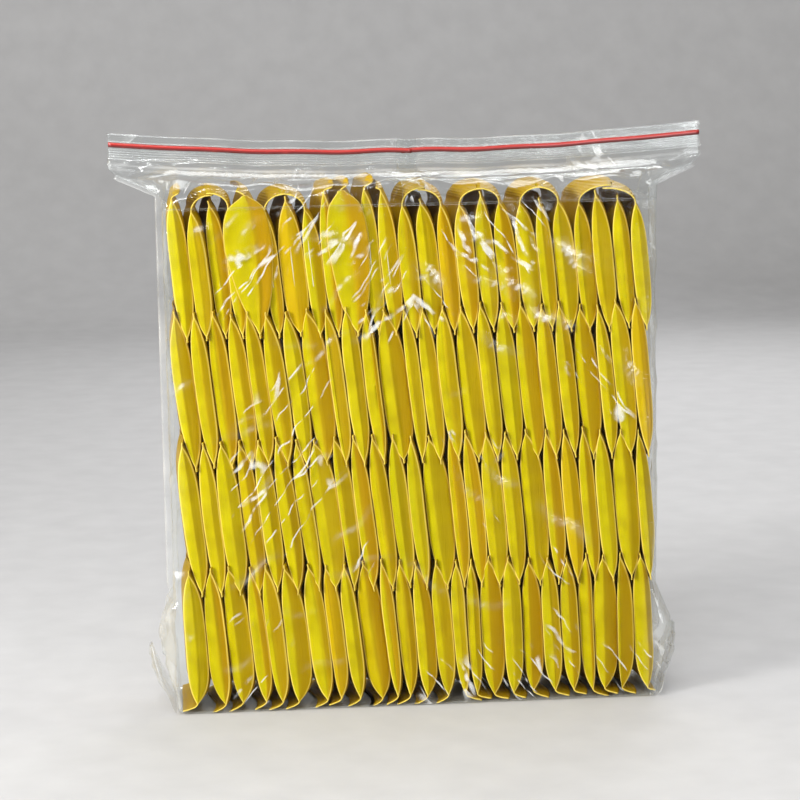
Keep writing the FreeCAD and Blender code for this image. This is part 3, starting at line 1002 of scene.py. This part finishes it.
bag_points, bag_haze_and_glints = [], []
loops = []
for share in (1.0, 0.84, 0.66, 0.48, 0.30, 0.16, 0.07):
    loops.append((0.0006, base_radius + share * 0.98 * (half_depth - base_radius), 0.0))
for step in range(5):
    angle = math.radians(90.0 * step / 4)
    loops.append((
        0.0003 + base_radius * (1.0 - math.cos(angle)), base_radius * (1.0 - math.sin(angle)), 0.3,
    ))
wall_steps = 124
for step in range(1, wall_steps + 1):
    height = base_radius + 0.0003 + (join_height - base_radius - 0.0003) * step / wall_steps
    loops.append((height, 0.0, 1.0))
for height, inset, wall in loops:
    for x, y, out_x, out_y in rounded_loop(inset):
        haze = 0.001
        push = 0.0
        if wall > 0:
            top_fade = min(1.0, max(0.0, (join_height - height) / 0.008))
            low_fade = min(1.0, height / 0.012)
            if abs(out_y) > 0.9:
                rise, creased = crease_relief(-1 if out_y < 0 else 1, x, height)
                push += rise * top_fade * low_fade
                # The creases are milky film, and their crests carry a painted glint: a white line, stronger
                # in the upper part, that stands in for the lights' reflection.
                glint_weight = 0.25 + 0.75 * min(1.0, max(0.0, (height / join_height - 0.55) / 0.2))
                crest_glint = max(0.0, creased - 0.70) / 0.30
                haze += (0.07 * creased + 0.40 * glint_weight * crest_glint) * top_fade
            corner = max(0.0, (abs(x) - 0.93 * half_width) / (0.07 * half_width))
            limp = 0.22 + 0.55 * corner + 0.5 * max(0.0, 1.0 - height / 0.045) * corner
            place = (0.8 * x, y, 0.55 * height) if corner < 0.5 else (x, 0.8 * y, 0.45 * height)
            fold = crumple_at(place, 62.0, 3.0)
            push += 0.0010 * limp * fold * top_fade * low_fade
            haze += 0.10 * corner * max(0.0, fold) + 0.04 * corner
            # The spare film above each bottom corner puckers outwards, clear of the loose ear.
            if abs(out_x) > 0.5 and height < 0.044:
                push = min(push, 0.0001)
            clear_of_ear = (abs(y) - half_depth * max(0.0, 1.0 - height / 0.036) - 0.003) / 0.006
            pucker = max(0.0, math.sin(math.pi * min(1.0, height / 0.056))) ** 0.8
            pucker *= min(1.0, max(0.0, clear_of_ear)) * abs(out_x)
            push += pucker * (0.0070 + 0.0040 * fold)
            haze += 0.10 * pucker * (0.4 + max(0.0, fold))
        bag_points.append((x + out_x * push, y + out_y * push, height))
        bag_haze_and_glints.append(haze)
around = 2 * (front_count + side_count) + 4 * corner_count
bag_faces = tube_faces(0, len(loops), around)
# The smallest loop of the base is closed straight across, from its front edge to its back edge.
back_start = front_count + corner_count + side_count + corner_count
middle_faces = []
for step in range(front_count):
    near_a, near_b = step, step + 1
    far_a, far_b = back_start + front_count - step, back_start + front_count - step - 1
    middle_faces.append((near_b, near_a, far_a % around, far_b % around))
end_count = corner_count + side_count + corner_count + 1
left_ring = [(back_start + front_count + step) % around for step in range(end_count)]
right_ring = [front_count + step for step in range(end_count)]
middle_faces.append(tuple(reversed(left_ring)))
middle_faces.append(tuple(reversed(right_ring)))
bag = mesh_object("bag_film", bag_points, bag_faces + middle_faces, bag_film)
set_attribute(bag, "haze", bag_haze_and_glints)
wall = bag.modifiers.new("film_thickness", "SOLIDIFY")
wall.thickness = film_thickness
wall.offset = -1.0
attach(bag, "bag_body")
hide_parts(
    "front_panel", "back_panel", "left_side_panel", "right_side_panel", "bottom_panel",
    "left_side_seam", "right_side_seam",
)


# ---- Mouth of the bag --------------------------------------------------------------------------
# Above the load both sheets lean in to the closing strip, and at the ends they run out flat as
# wings. Each sheet is made in a left and a right half.
lip_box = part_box("front_lip_right")
strip_half = lip_box[1].x
strip_sheet = -(lip_box[0].y + lip_box[1].y) / 2
strip_top_end = lip_box[1].z
strip_foot_middle = lip_box[0].z
strip_height = 0.0150
strip_sag = strip_top_end - strip_height - strip_foot_middle
mouth_film = clear_film("clear_mouth_film", 0.35, 0.12)
middle_overlap = 0.0045
mouth_columns, mouth_rows = 96, 64


def strip_rise(x):
    """How much higher the strip is at a place than at its sagging middle."""
    share = abs(x) / strip_half
    ripple = 0.00035 * math.sin(x * 150.0) + 0.0003 * math.sin(x * 61.0 + 1.0)
    return strip_sag * share ** 2 + ripple * (1.0 - share)


def loop_place(run):
    """A place on the top loop of the bag, run metres from the middle of the front to the right."""
    straight = half_width - corner_radius
    arc = corner_radius * math.pi / 2
    if run < straight:
        return run, -half_depth
    if run < straight + arc:
        angle = (run - straight) / corner_radius
        y = -half_depth + corner_radius * (1 - math.cos(angle))
        return straight + corner_radius * math.sin(angle), y
    return half_width, min(0.0, -half_depth + corner_radius + run - straight - arc)


loop_quarter = half_width + half_depth - 2 * corner_radius + corner_radius * math.pi / 2


def spline(knots, share):
    """A smooth line through the knots, which are evenly spread from 0 to 1."""
    place = share * (len(knots) - 1)
    index = min(int(place), len(knots) - 2)
    t = place - index
    p1, p2 = knots[index], knots[index + 1]
    p0 = knots[index - 1] if index > 0 else 2 * p1 - p2
    p3 = knots[index + 2] if index + 2 < len(knots) else 2 * p2 - p1
    return 0.5 * (
        2 * p1 + (p2 - p0) * t + (2 * p0 - 5 * p1 + 4 * p2 - p3) * t * t
        + (3 * p1 - p0 - 3 * p2 + p3) * t ** 3
    )


def mouth_knots(run):
    """Knots of the line that one strand of the front sheet takes from the load up to the strip."""
    x0, y0 = loop_place(max(run, 0.0))
    x0 = x0 if run > 0 else run
    x1 = run * strip_half / loop_quarter
    foot = strip_foot_middle + strip_rise(x1)
    top = foot + strip_height
    wing = max(0.0, (abs(x1) - half_width + 0.006) / (strip_half - half_width + 0.006))
    apart = 1.0 - 0.93 * wing ** 2
    belly = 0.0032 * (1.0 - 0.35 * wing) * apart
    shoulder = 0.0016 * math.sin(x1 * 88.0 + 0.7) + 0.0011 * math.sin(x1 * 213.0)
    shoulder *= 1.0 - wing
    climb = (
        (0.10 - 0.05 * wing, 1.0, 0.0, join_height + 0.0050 - 0.0006 * wing + shoulder),
        (0.30 - 0.05 * wing, 0.89, 0.0005, join_height + 0.0092 - 0.0022 * wing + shoulder),
        (0.58 - 0.03 * wing, 0.57, 0.0015, foot - 0.0036 - 0.0050 * wing),
        (0.86, 0.24, 0.8 * belly, foot - 0.0034 - 0.0016 * wing),
    )
    knots = [Vector((x0, y0 * 1.003 - 0.0001 * apart, join_height - 0.0012))]
    for out, deep, forward, z in climb:
        knots.append(Vector((x0 + out * (x1 - x0), y0 * deep - forward * apart, z)))
    knots.append(Vector((x1, -belly - strip_sheet, foot - 0.0008)))
    knots.append(Vector((x1, -strip_sheet - 0.0012 * apart, foot + 0.0022)))
    knots.append(Vector((x1, -strip_sheet, foot + 0.0050)))
    knots.append(Vector((x1, -strip_sheet, (foot + 0.0050 + top) / 2)))
    knots.append(Vector((x1, -strip_sheet, top)))
    return knots, wing


def mouth_sheet(face, side):
    """Points and haze of one quarter of the mouth, from the bag's loop up to the lip's edge."""
    points, hazes = [], []
    lift = 0.00012 if side < 0 else 0.0
    for column in range(mouth_columns + 1):
        share = column / mouth_columns
        run = -middle_overlap + (loop_quarter + middle_overlap) * share
        knots, wing = mouth_knots(run)
        for row in range(mouth_rows + 1):
            level = row / mouth_rows
            place = spline(knots, level)
            lip = max(0.0, min(1.0, (level - 0.62) / 0.1))
            start_fade = min(1.0, level / 0.05)
            held_flat = 0.65 * math.exp(-((level - 0.57) / 0.08) ** 2) * (1.0 - wing)
            loose = start_fade * (1.0 - lip) * (0.45 + 1.25 * wing) * (1.0 - held_flat)
            spot = (0.42 * place.x, 1.5 * place.y, 1.5 * place.z)
            if wing > 0.05:
                spot = (place.x, place.y, 0.9 * place.z)
            fold = crumple_at(spot, 68.0, 5.0 - face + 2 * side)
            limit = min(1.0, (abs(place.y) - strip_sheet) / 0.003)
            pushed = 0.0011 * loose * fold * max(0.0, limit)
            place = place + Vector((0.0, -0.6 * pushed - lift, 0.75 * pushed))
            lip_wave = 0.00022 * lip * math.sin(place.x * 190.0 + 40 * level) * (1.0 - wing)
            place.y += min(0.0, lip_wave)
            band = 0.8 * math.exp(-((level - 0.530) / 0.022) ** 2)
            band += math.exp(-((level - 0.600) / 0.026) ** 2)
            band *= 1.0 - 0.6 * wing
            haze = 0.010 + 0.020 * lip + 0.15 * band + 0.06 * loose * max(0.0, fold) + 0.012 * wing
            haze *= 0.5 if abs(run) < middle_overlap else 1.0
            points.append((side * place.x, face * abs(place.y), place.z))
            hazes.append(haze)
    return points, hazes


def grid_faces(columns_made, rows_made, flip):
    """Faces of a grid whose points run up each column in turn."""
    faces = []
    for column in range(columns_made):
        for row in range(rows_made):
            a = column * (rows_made + 1) + row
            b = a + rows_made + 1
            face = (a, b, b + 1, a + 1)
            faces.append(face[::-1] if flip else face)
    return faces


quarters = [
    (face_name, face, side_name, side)
    for face_name, face in (("front", -1), ("back", 1))
    for side_name, side in (("left", -1), ("right", 1))
]
for face_name, face, side_name, side in quarters:
    points, hazes = mouth_sheet(face, side)
    flip = (side < 0) != (face > 0)
    faces = grid_faces(mouth_columns, mouth_rows, flip)
    sheet = mesh_object(f"mouth_{face_name}_{side_name}", points, faces, mouth_film)
    set_attribute(sheet, "haze", hazes)
    wall = sheet.modifiers.new("film_thickness", "SOLIDIFY")
    wall.thickness = film_thickness
    wall.offset = 0.0
    lip = f"{face_name}_lip_{side_name}"
    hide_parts(lip, f"{face_name}_mouth_film_{side_name}")
    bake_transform(sheet)


# ---- Side seams --------------------------------------------------------------------------------
# The heat welds of the two sheets: a narrow doubled edge that stands out at each side of the bag
# and runs on up the wing to the end of the closing strip, with the welding bar's fine ribs in it.
seam_width = 0.0036
seam_foot = 0.046
seam_film = clear_film("welded_seam_film", 0.0, 0.20)
for side_name, side in (("left", -1), ("right", 1)):
    route = []
    steps = 90
    for step in range(steps + 1):
        z = seam_foot + (join_height - seam_foot) * step / steps
        wave = 0.0007 * math.sin(z * 70.0 + side) + 0.0005 * math.sin(z * 173.0)
        route.append((half_width - 0.0002, wave * min(1.0, (join_height - z) / 0.02), z))
    wing_steps = 16
    knots, wing = mouth_knots(loop_quarter)
    for step in range(1, wing_steps + 1):
        edge = spline(knots, 0.03 + 0.42 * step / wing_steps)
        if edge.x < strip_half - 0.0022:
            route.append((edge.x - 0.0004, 0.0, edge.z + 0.0006))
    points, faces, hazes = [], [], []
    for step, (x, y, z) in enumerate(route):
        before, after = route[max(step - 2, 0)], route[min(step + 2, len(route) - 1)]
        run_length = math.hypot(after[0] - before[0], after[2] - before[2])
        out_x = (after[2] - before[2]) / run_length
        out_z = (before[0] - after[0]) / run_length
        for reach in (0.0, 0.35, 0.7, 1.0):
            rib = 0.00012 * math.sin(z * 2600.0)
            grown = min(1.0, 0.1 + (z - seam_foot) / 0.014) * (1.0 - 0.35 * abs(out_z))
            for skin_side in (-1, 1):
                thick = 0.00020 if reach in (0.35, 0.7) else 0.00013
                points.append((
                    side * (x + out_x * reach * grown * seam_width), y + skin_side * thick + rib,
                    z + out_z * reach * grown * seam_width,
                ))
                hazes.append(0.12 + 0.12 * (reach == 1.0))
    ring = [0, 2, 4, 6, 7, 5, 3, 1]
    for step in range(len(route) - 1):
        for a, b in zip(ring, ring[1:] + ring[:1]):
            faces.append((8 * step + a, 8 * step + b, 8 * (step + 1) + b, 8 * (step + 1) + a))
    faces.append(tuple(reversed(ring)))
    faces.append(tuple(8 * (len(route) - 1) + a for a in ring))
    seam = mesh_object(f"seam_{side_name}", points, faces, seam_film)
    set_attribute(seam, "haze", hazes)
    face_outwards(seam)
    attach(seam, "bag_body")
    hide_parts(f"{side_name}_side_seam")


# ---- Closing strip -----------------------------------------------------------------------------
# The press-seal zip that is extruded with the bag: clear ribs along the outside of each lip, and
# inside them a groove on the front sheet that a rib on the back sheet presses into.
line_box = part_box("front_red_line_right")
line_height = 0.0022
line_middle = line_box[0].z + line_height / 2
line_drop = strip_foot_middle + strip_height - line_middle
rib_material = clear_film("clear_ribs", 0.0, 0.16)

rib_tree, entry, leave = new_geometry_tree("strip_ribs", [
    ("Count", "NodeSocketInt"), ("Spacing", "NodeSocketVector"), ("Rib Radius", "NodeSocketFloat"),
])
lines = add_node(rib_tree, "GeometryNodeMeshLine")
to_curve = add_node(rib_tree, "GeometryNodeMeshToCurve")
place_ribs = add_node(rib_tree, "GeometryNodeInstanceOnPoints")
realize_lines = add_node(rib_tree, "GeometryNodeRealizeInstances")
profile_ring = add_node(rib_tree, "GeometryNodeCurvePrimitiveCircle", {"Resolution": 6})
sweep = add_node(rib_tree, "GeometryNodeCurveToMesh", {"Fill Caps": True})
realize = add_node(rib_tree, "GeometryNodeRealizeInstances")
paint = add_node(rib_tree, "GeometryNodeSetMaterial", {"Material": rib_material})
link = rib_tree.links.new
link(entry.outputs["Geometry"], to_curve.inputs["Mesh"])
link(entry.outputs["Count"], lines.inputs["Count"])
link(entry.outputs["Spacing"], lines.inputs["Offset"])
link(lines.outputs["Mesh"], place_ribs.inputs["Points"])
link(to_curve.outputs[0], place_ribs.inputs["Instance"])
link(place_ribs.outputs[0], realize_lines.inputs[0])
link(entry.outputs["Rib Radius"], profile_ring.inputs["Radius"])
link(realize_lines.outputs[0], sweep.inputs["Curve"])
link(profile_ring.outputs[0], sweep.inputs["Profile Curve"])
link(sweep.outputs[0], realize.inputs[0])
link(realize.outputs[0], paint.inputs["Geometry"])
link(paint.outputs[0], leave.inputs[0])


def strip_line(name, side, y, drop, inner_end=0.0003, outer_gap=0.0006):
    """A thin line along half of the strip, drop below the lip's edge."""
    points = []
    steps = 56
    for step in range(steps + 1):
        x = inner_end + (strip_half - outer_gap - inner_end) * step / steps
        z = strip_foot_middle + strip_height + strip_rise(x) - drop
        points.append((side * x, y, z))
    mesh = bpy.data.meshes.new(name)
    mesh.from_pydata(points, [(i, i + 1) for i in range(steps)], [])
    piece = bpy.data.objects.new(name, mesh)
    scene.collection.objects.link(piece)
    return piece


# Ribs on each half lip, as drop of the first one, how many, their spacing, their radius, and
# how far they stand out from the sheet.
rib_sets = (
    (0.0004, 1, 0.0010, 0.00030, 0.00008),
    (line_drop - 0.0017, 1, 0.0010, 0.00036, 0.00012),
    (line_drop + 0.0019, 5, 0.0011, 0.00030, 0.00010),
)
for face_name, face, side_name, side in quarters:
    parts = []
    outside = face * (strip_sheet + 0.00012)
    for number, (drop, count, spacing, radius, stand) in enumerate(rib_sets):
        ribs = strip_line(f"rib_{number}", side, outside + face * stand, drop)
        bake_geometry(ribs, rib_tree, {
            "Count": count, "Spacing": (0.0, 0.0, -spacing), "Rib Radius": radius,
        })
        parts.append(ribs)
    track_radius = 0.00042 if face < 0 else 0.00030
    track = strip_line("zip_track", side, face * 0.00055, line_drop - 0.0006, 0.0003, 0.0036)
    track_count = 2 if face < 0 else 1
    bake_geometry(track, rib_tree, {
        "Count": track_count, "Spacing": (0.0, 0.0, -0.0014), "Rib Radius": track_radius,
    })
    parts.append(track)
    joined = bmesh.new()
    for part in parts:
        joined.from_mesh(part.data)
    mesh = bpy.data.meshes.new(f"zip_{face_name}_{side_name}")
    joined.to_mesh(mesh)
    joined.free()
    for part in parts:
        bpy.data.objects.remove(part)
    mesh.materials.append(rib_material)
    zip_ribs = bpy.data.objects.new(f"zip_{face_name}_{side_name}", mesh)
    scene.collection.objects.link(zip_ribs)
    face_outwards(zip_ribs)
    zip_ribs.data.polygons.foreach_set("use_smooth", [True] * len(zip_ribs.data.polygons))
    set_attribute(zip_ribs, "haze", [0.11] * len(zip_ribs.data.vertices))
    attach(zip_ribs, f"{face_name}_lip_{side_name}")
    inner = "zip_groove" if face < 0 else "zip_rib"
    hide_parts(f"{face_name}_{inner}_{side_name}")


# ---- Red closing line --------------------------------------------------------------------------
# A band of red plastic that is extruded on to the outside of each lip over the zip, so that the
# user sees where to press. It is low and rounded, and its lower half, which turns away from the light, has
# painted shade: a darker red.
red_material, tree, output = node_material("red_closing_plastic")
grain = crumple(tree, 300.0, (0.12, 1.0, 1.0), 0.3)
up_band = attribute(tree, "up_band")
# Painted shade: the red turns much darker towards the lower half of the band.
painted_shade_red = colour_steps(tree, up_band, [
    (0.0, (0.085, 0.004, 0.004)), (0.46, (0.14, 0.005, 0.005)),
    (0.56, (0.36, 0.014, 0.010)), (1.0, (0.44, 0.022, 0.015)),
])
worn_share = between(tree, grain.outputs["Blotch"], 0.55, 0.80)
worn = blended_colour(tree, worn_share, painted_shade_red, (0.30, 0.016, 0.012))
red = add_node(tree, "ShaderNodeBsdfPrincipled", {"Roughness": 0.32, "Coat Weight": 0.35})
tree.links.new(worn, red.inputs["Base Color"])
red_bump = add_node(tree, "ShaderNodeBump", {"Strength": 0.25, "Distance": 0.0003})
tree.links.new(grain.outputs["Height"], red_bump.inputs["Height"])
tree.links.new(red_bump.outputs[0], red.inputs["Normal"])
tree.links.new(red.outputs[0], output.inputs["Surface"])

band_profile = []
for step in range(9):
    angle = math.radians(-90.0 + 180.0 * step / 8)
    band_profile.append((0.00034 * math.cos(angle), 0.5 * line_height * math.sin(angle)))
for face_name, face, side_name, side in quarters:
    points, faces, rises = [], [], []
    steps = 80
    start = -0.0024
    lift = 0.00010 if side < 0 else 0.0
    for step in range(steps + 1):
        x = start + (strip_half - 0.0005 - start) * step / steps
        z = strip_foot_middle + strip_height + strip_rise(x) - line_drop
        for out, up in band_profile:
            y = face * (strip_sheet + 0.00010 + out + lift)
            points.append((side * x, y, z + up))
            rises.append(0.5 + up / line_height)
    count = len(band_profile)
    faces += tube_faces(0, steps + 1, count)
    faces.append(tuple(range(count)))
    faces.append(tuple(steps * count + place for place in reversed(range(count))))
    band = mesh_object(f"red_{face_name}_{side_name}", points, faces, red_material)
    set_attribute(band, "up_band", rises)
    face_outwards(band)
    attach(band, f"{face_name}_lip_{side_name}")
    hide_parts(f"{face_name}_red_line_{side_name}")


# ---- Corner ears -------------------------------------------------------------------------------
# Where the flat bag is pushed out to a box, each bottom corner is left as a loose triangle of
# doubled film. It folds along the base's edge and stands up, crumpled, beside the bag.
ear_film = clear_film("clear_ear_film", 0.45, 0.10)
ear_rows, ear_columns = 30, 34
for side_name, side in (("left", -1), ("right", 1)):
    ear_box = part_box(f"{side_name}_ear")
    hinge_x = half_width + 0.0006
    tip = Vector((max(abs(ear_box[0].x), abs(ear_box[1].x)) - 0.0004, 0.0, ear_box[1].z - 0.0004))
    root_z = 0.0010
    half_base = -ear_box[0].y
    points, hazes, faces = [], [], []
    for skin_side in (-1, 1):
        for row in range(ear_rows + 1):
            rise = row / ear_rows
            for column in range(ear_columns + 1):
                across = 2.0 * column / ear_columns - 1.0
                width = half_base * (1.0 - 0.80 * rise ** 1.25) * (1.0 + 0.06 * math.sin(17.0 * rise))
                y = across * width + 0.0030 * rise * side
                x = hinge_x + (tip.x - hinge_x) * (0.84 * rise + 0.10 * math.sin(math.pi * rise))
                z = root_z + (tip.z - root_z) * 0.84 * rise
                rim = (1.0 - across ** 2) * math.sin(math.pi * min(1.0, rise * 0.94 + 0.06))
                fold = crumple_at((x * 1.2, y, z), 95.0, 9.0 + side)
                curl = 0.0015 * rim * fold + 0.0009 * rise * math.sin(7.0 * across)
                curl = max(-0.0003, min(curl, 0.0016))
                puff = rim * (1.0 + 0.6 * math.sin(11.0 * across + 5.0 * rise))
                puff *= 0.0026 * rise ** 0.5 if skin_side > 0 else 0.0005
                shift = curl + 0.0005 * rim + skin_side * puff
                points.append((side * (x + shift), y, z + 0.15 * shift))
                hazes.append(0.05 + 0.24 * max(0.0, fold) * rim + 0.20 * (abs(across) > 0.94))
    side_points = (ear_rows + 1) * (ear_columns + 1)
    for skin_side in (0, 1):
        for row in range(ear_rows):
            for column in range(ear_columns):
                a = skin_side * side_points + row * (ear_columns + 1) + column
                b = a + ear_columns + 1
                faces.append((a, a + 1, b + 1, b))
    ear = mesh_object(f"ear_{side_name}", points, faces, ear_film)
    set_attribute(ear, "haze", hazes)
    face_outwards(ear, close_holes=True)
    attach(ear, f"{side_name}_ear")
    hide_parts(f"{side_name}_ear")
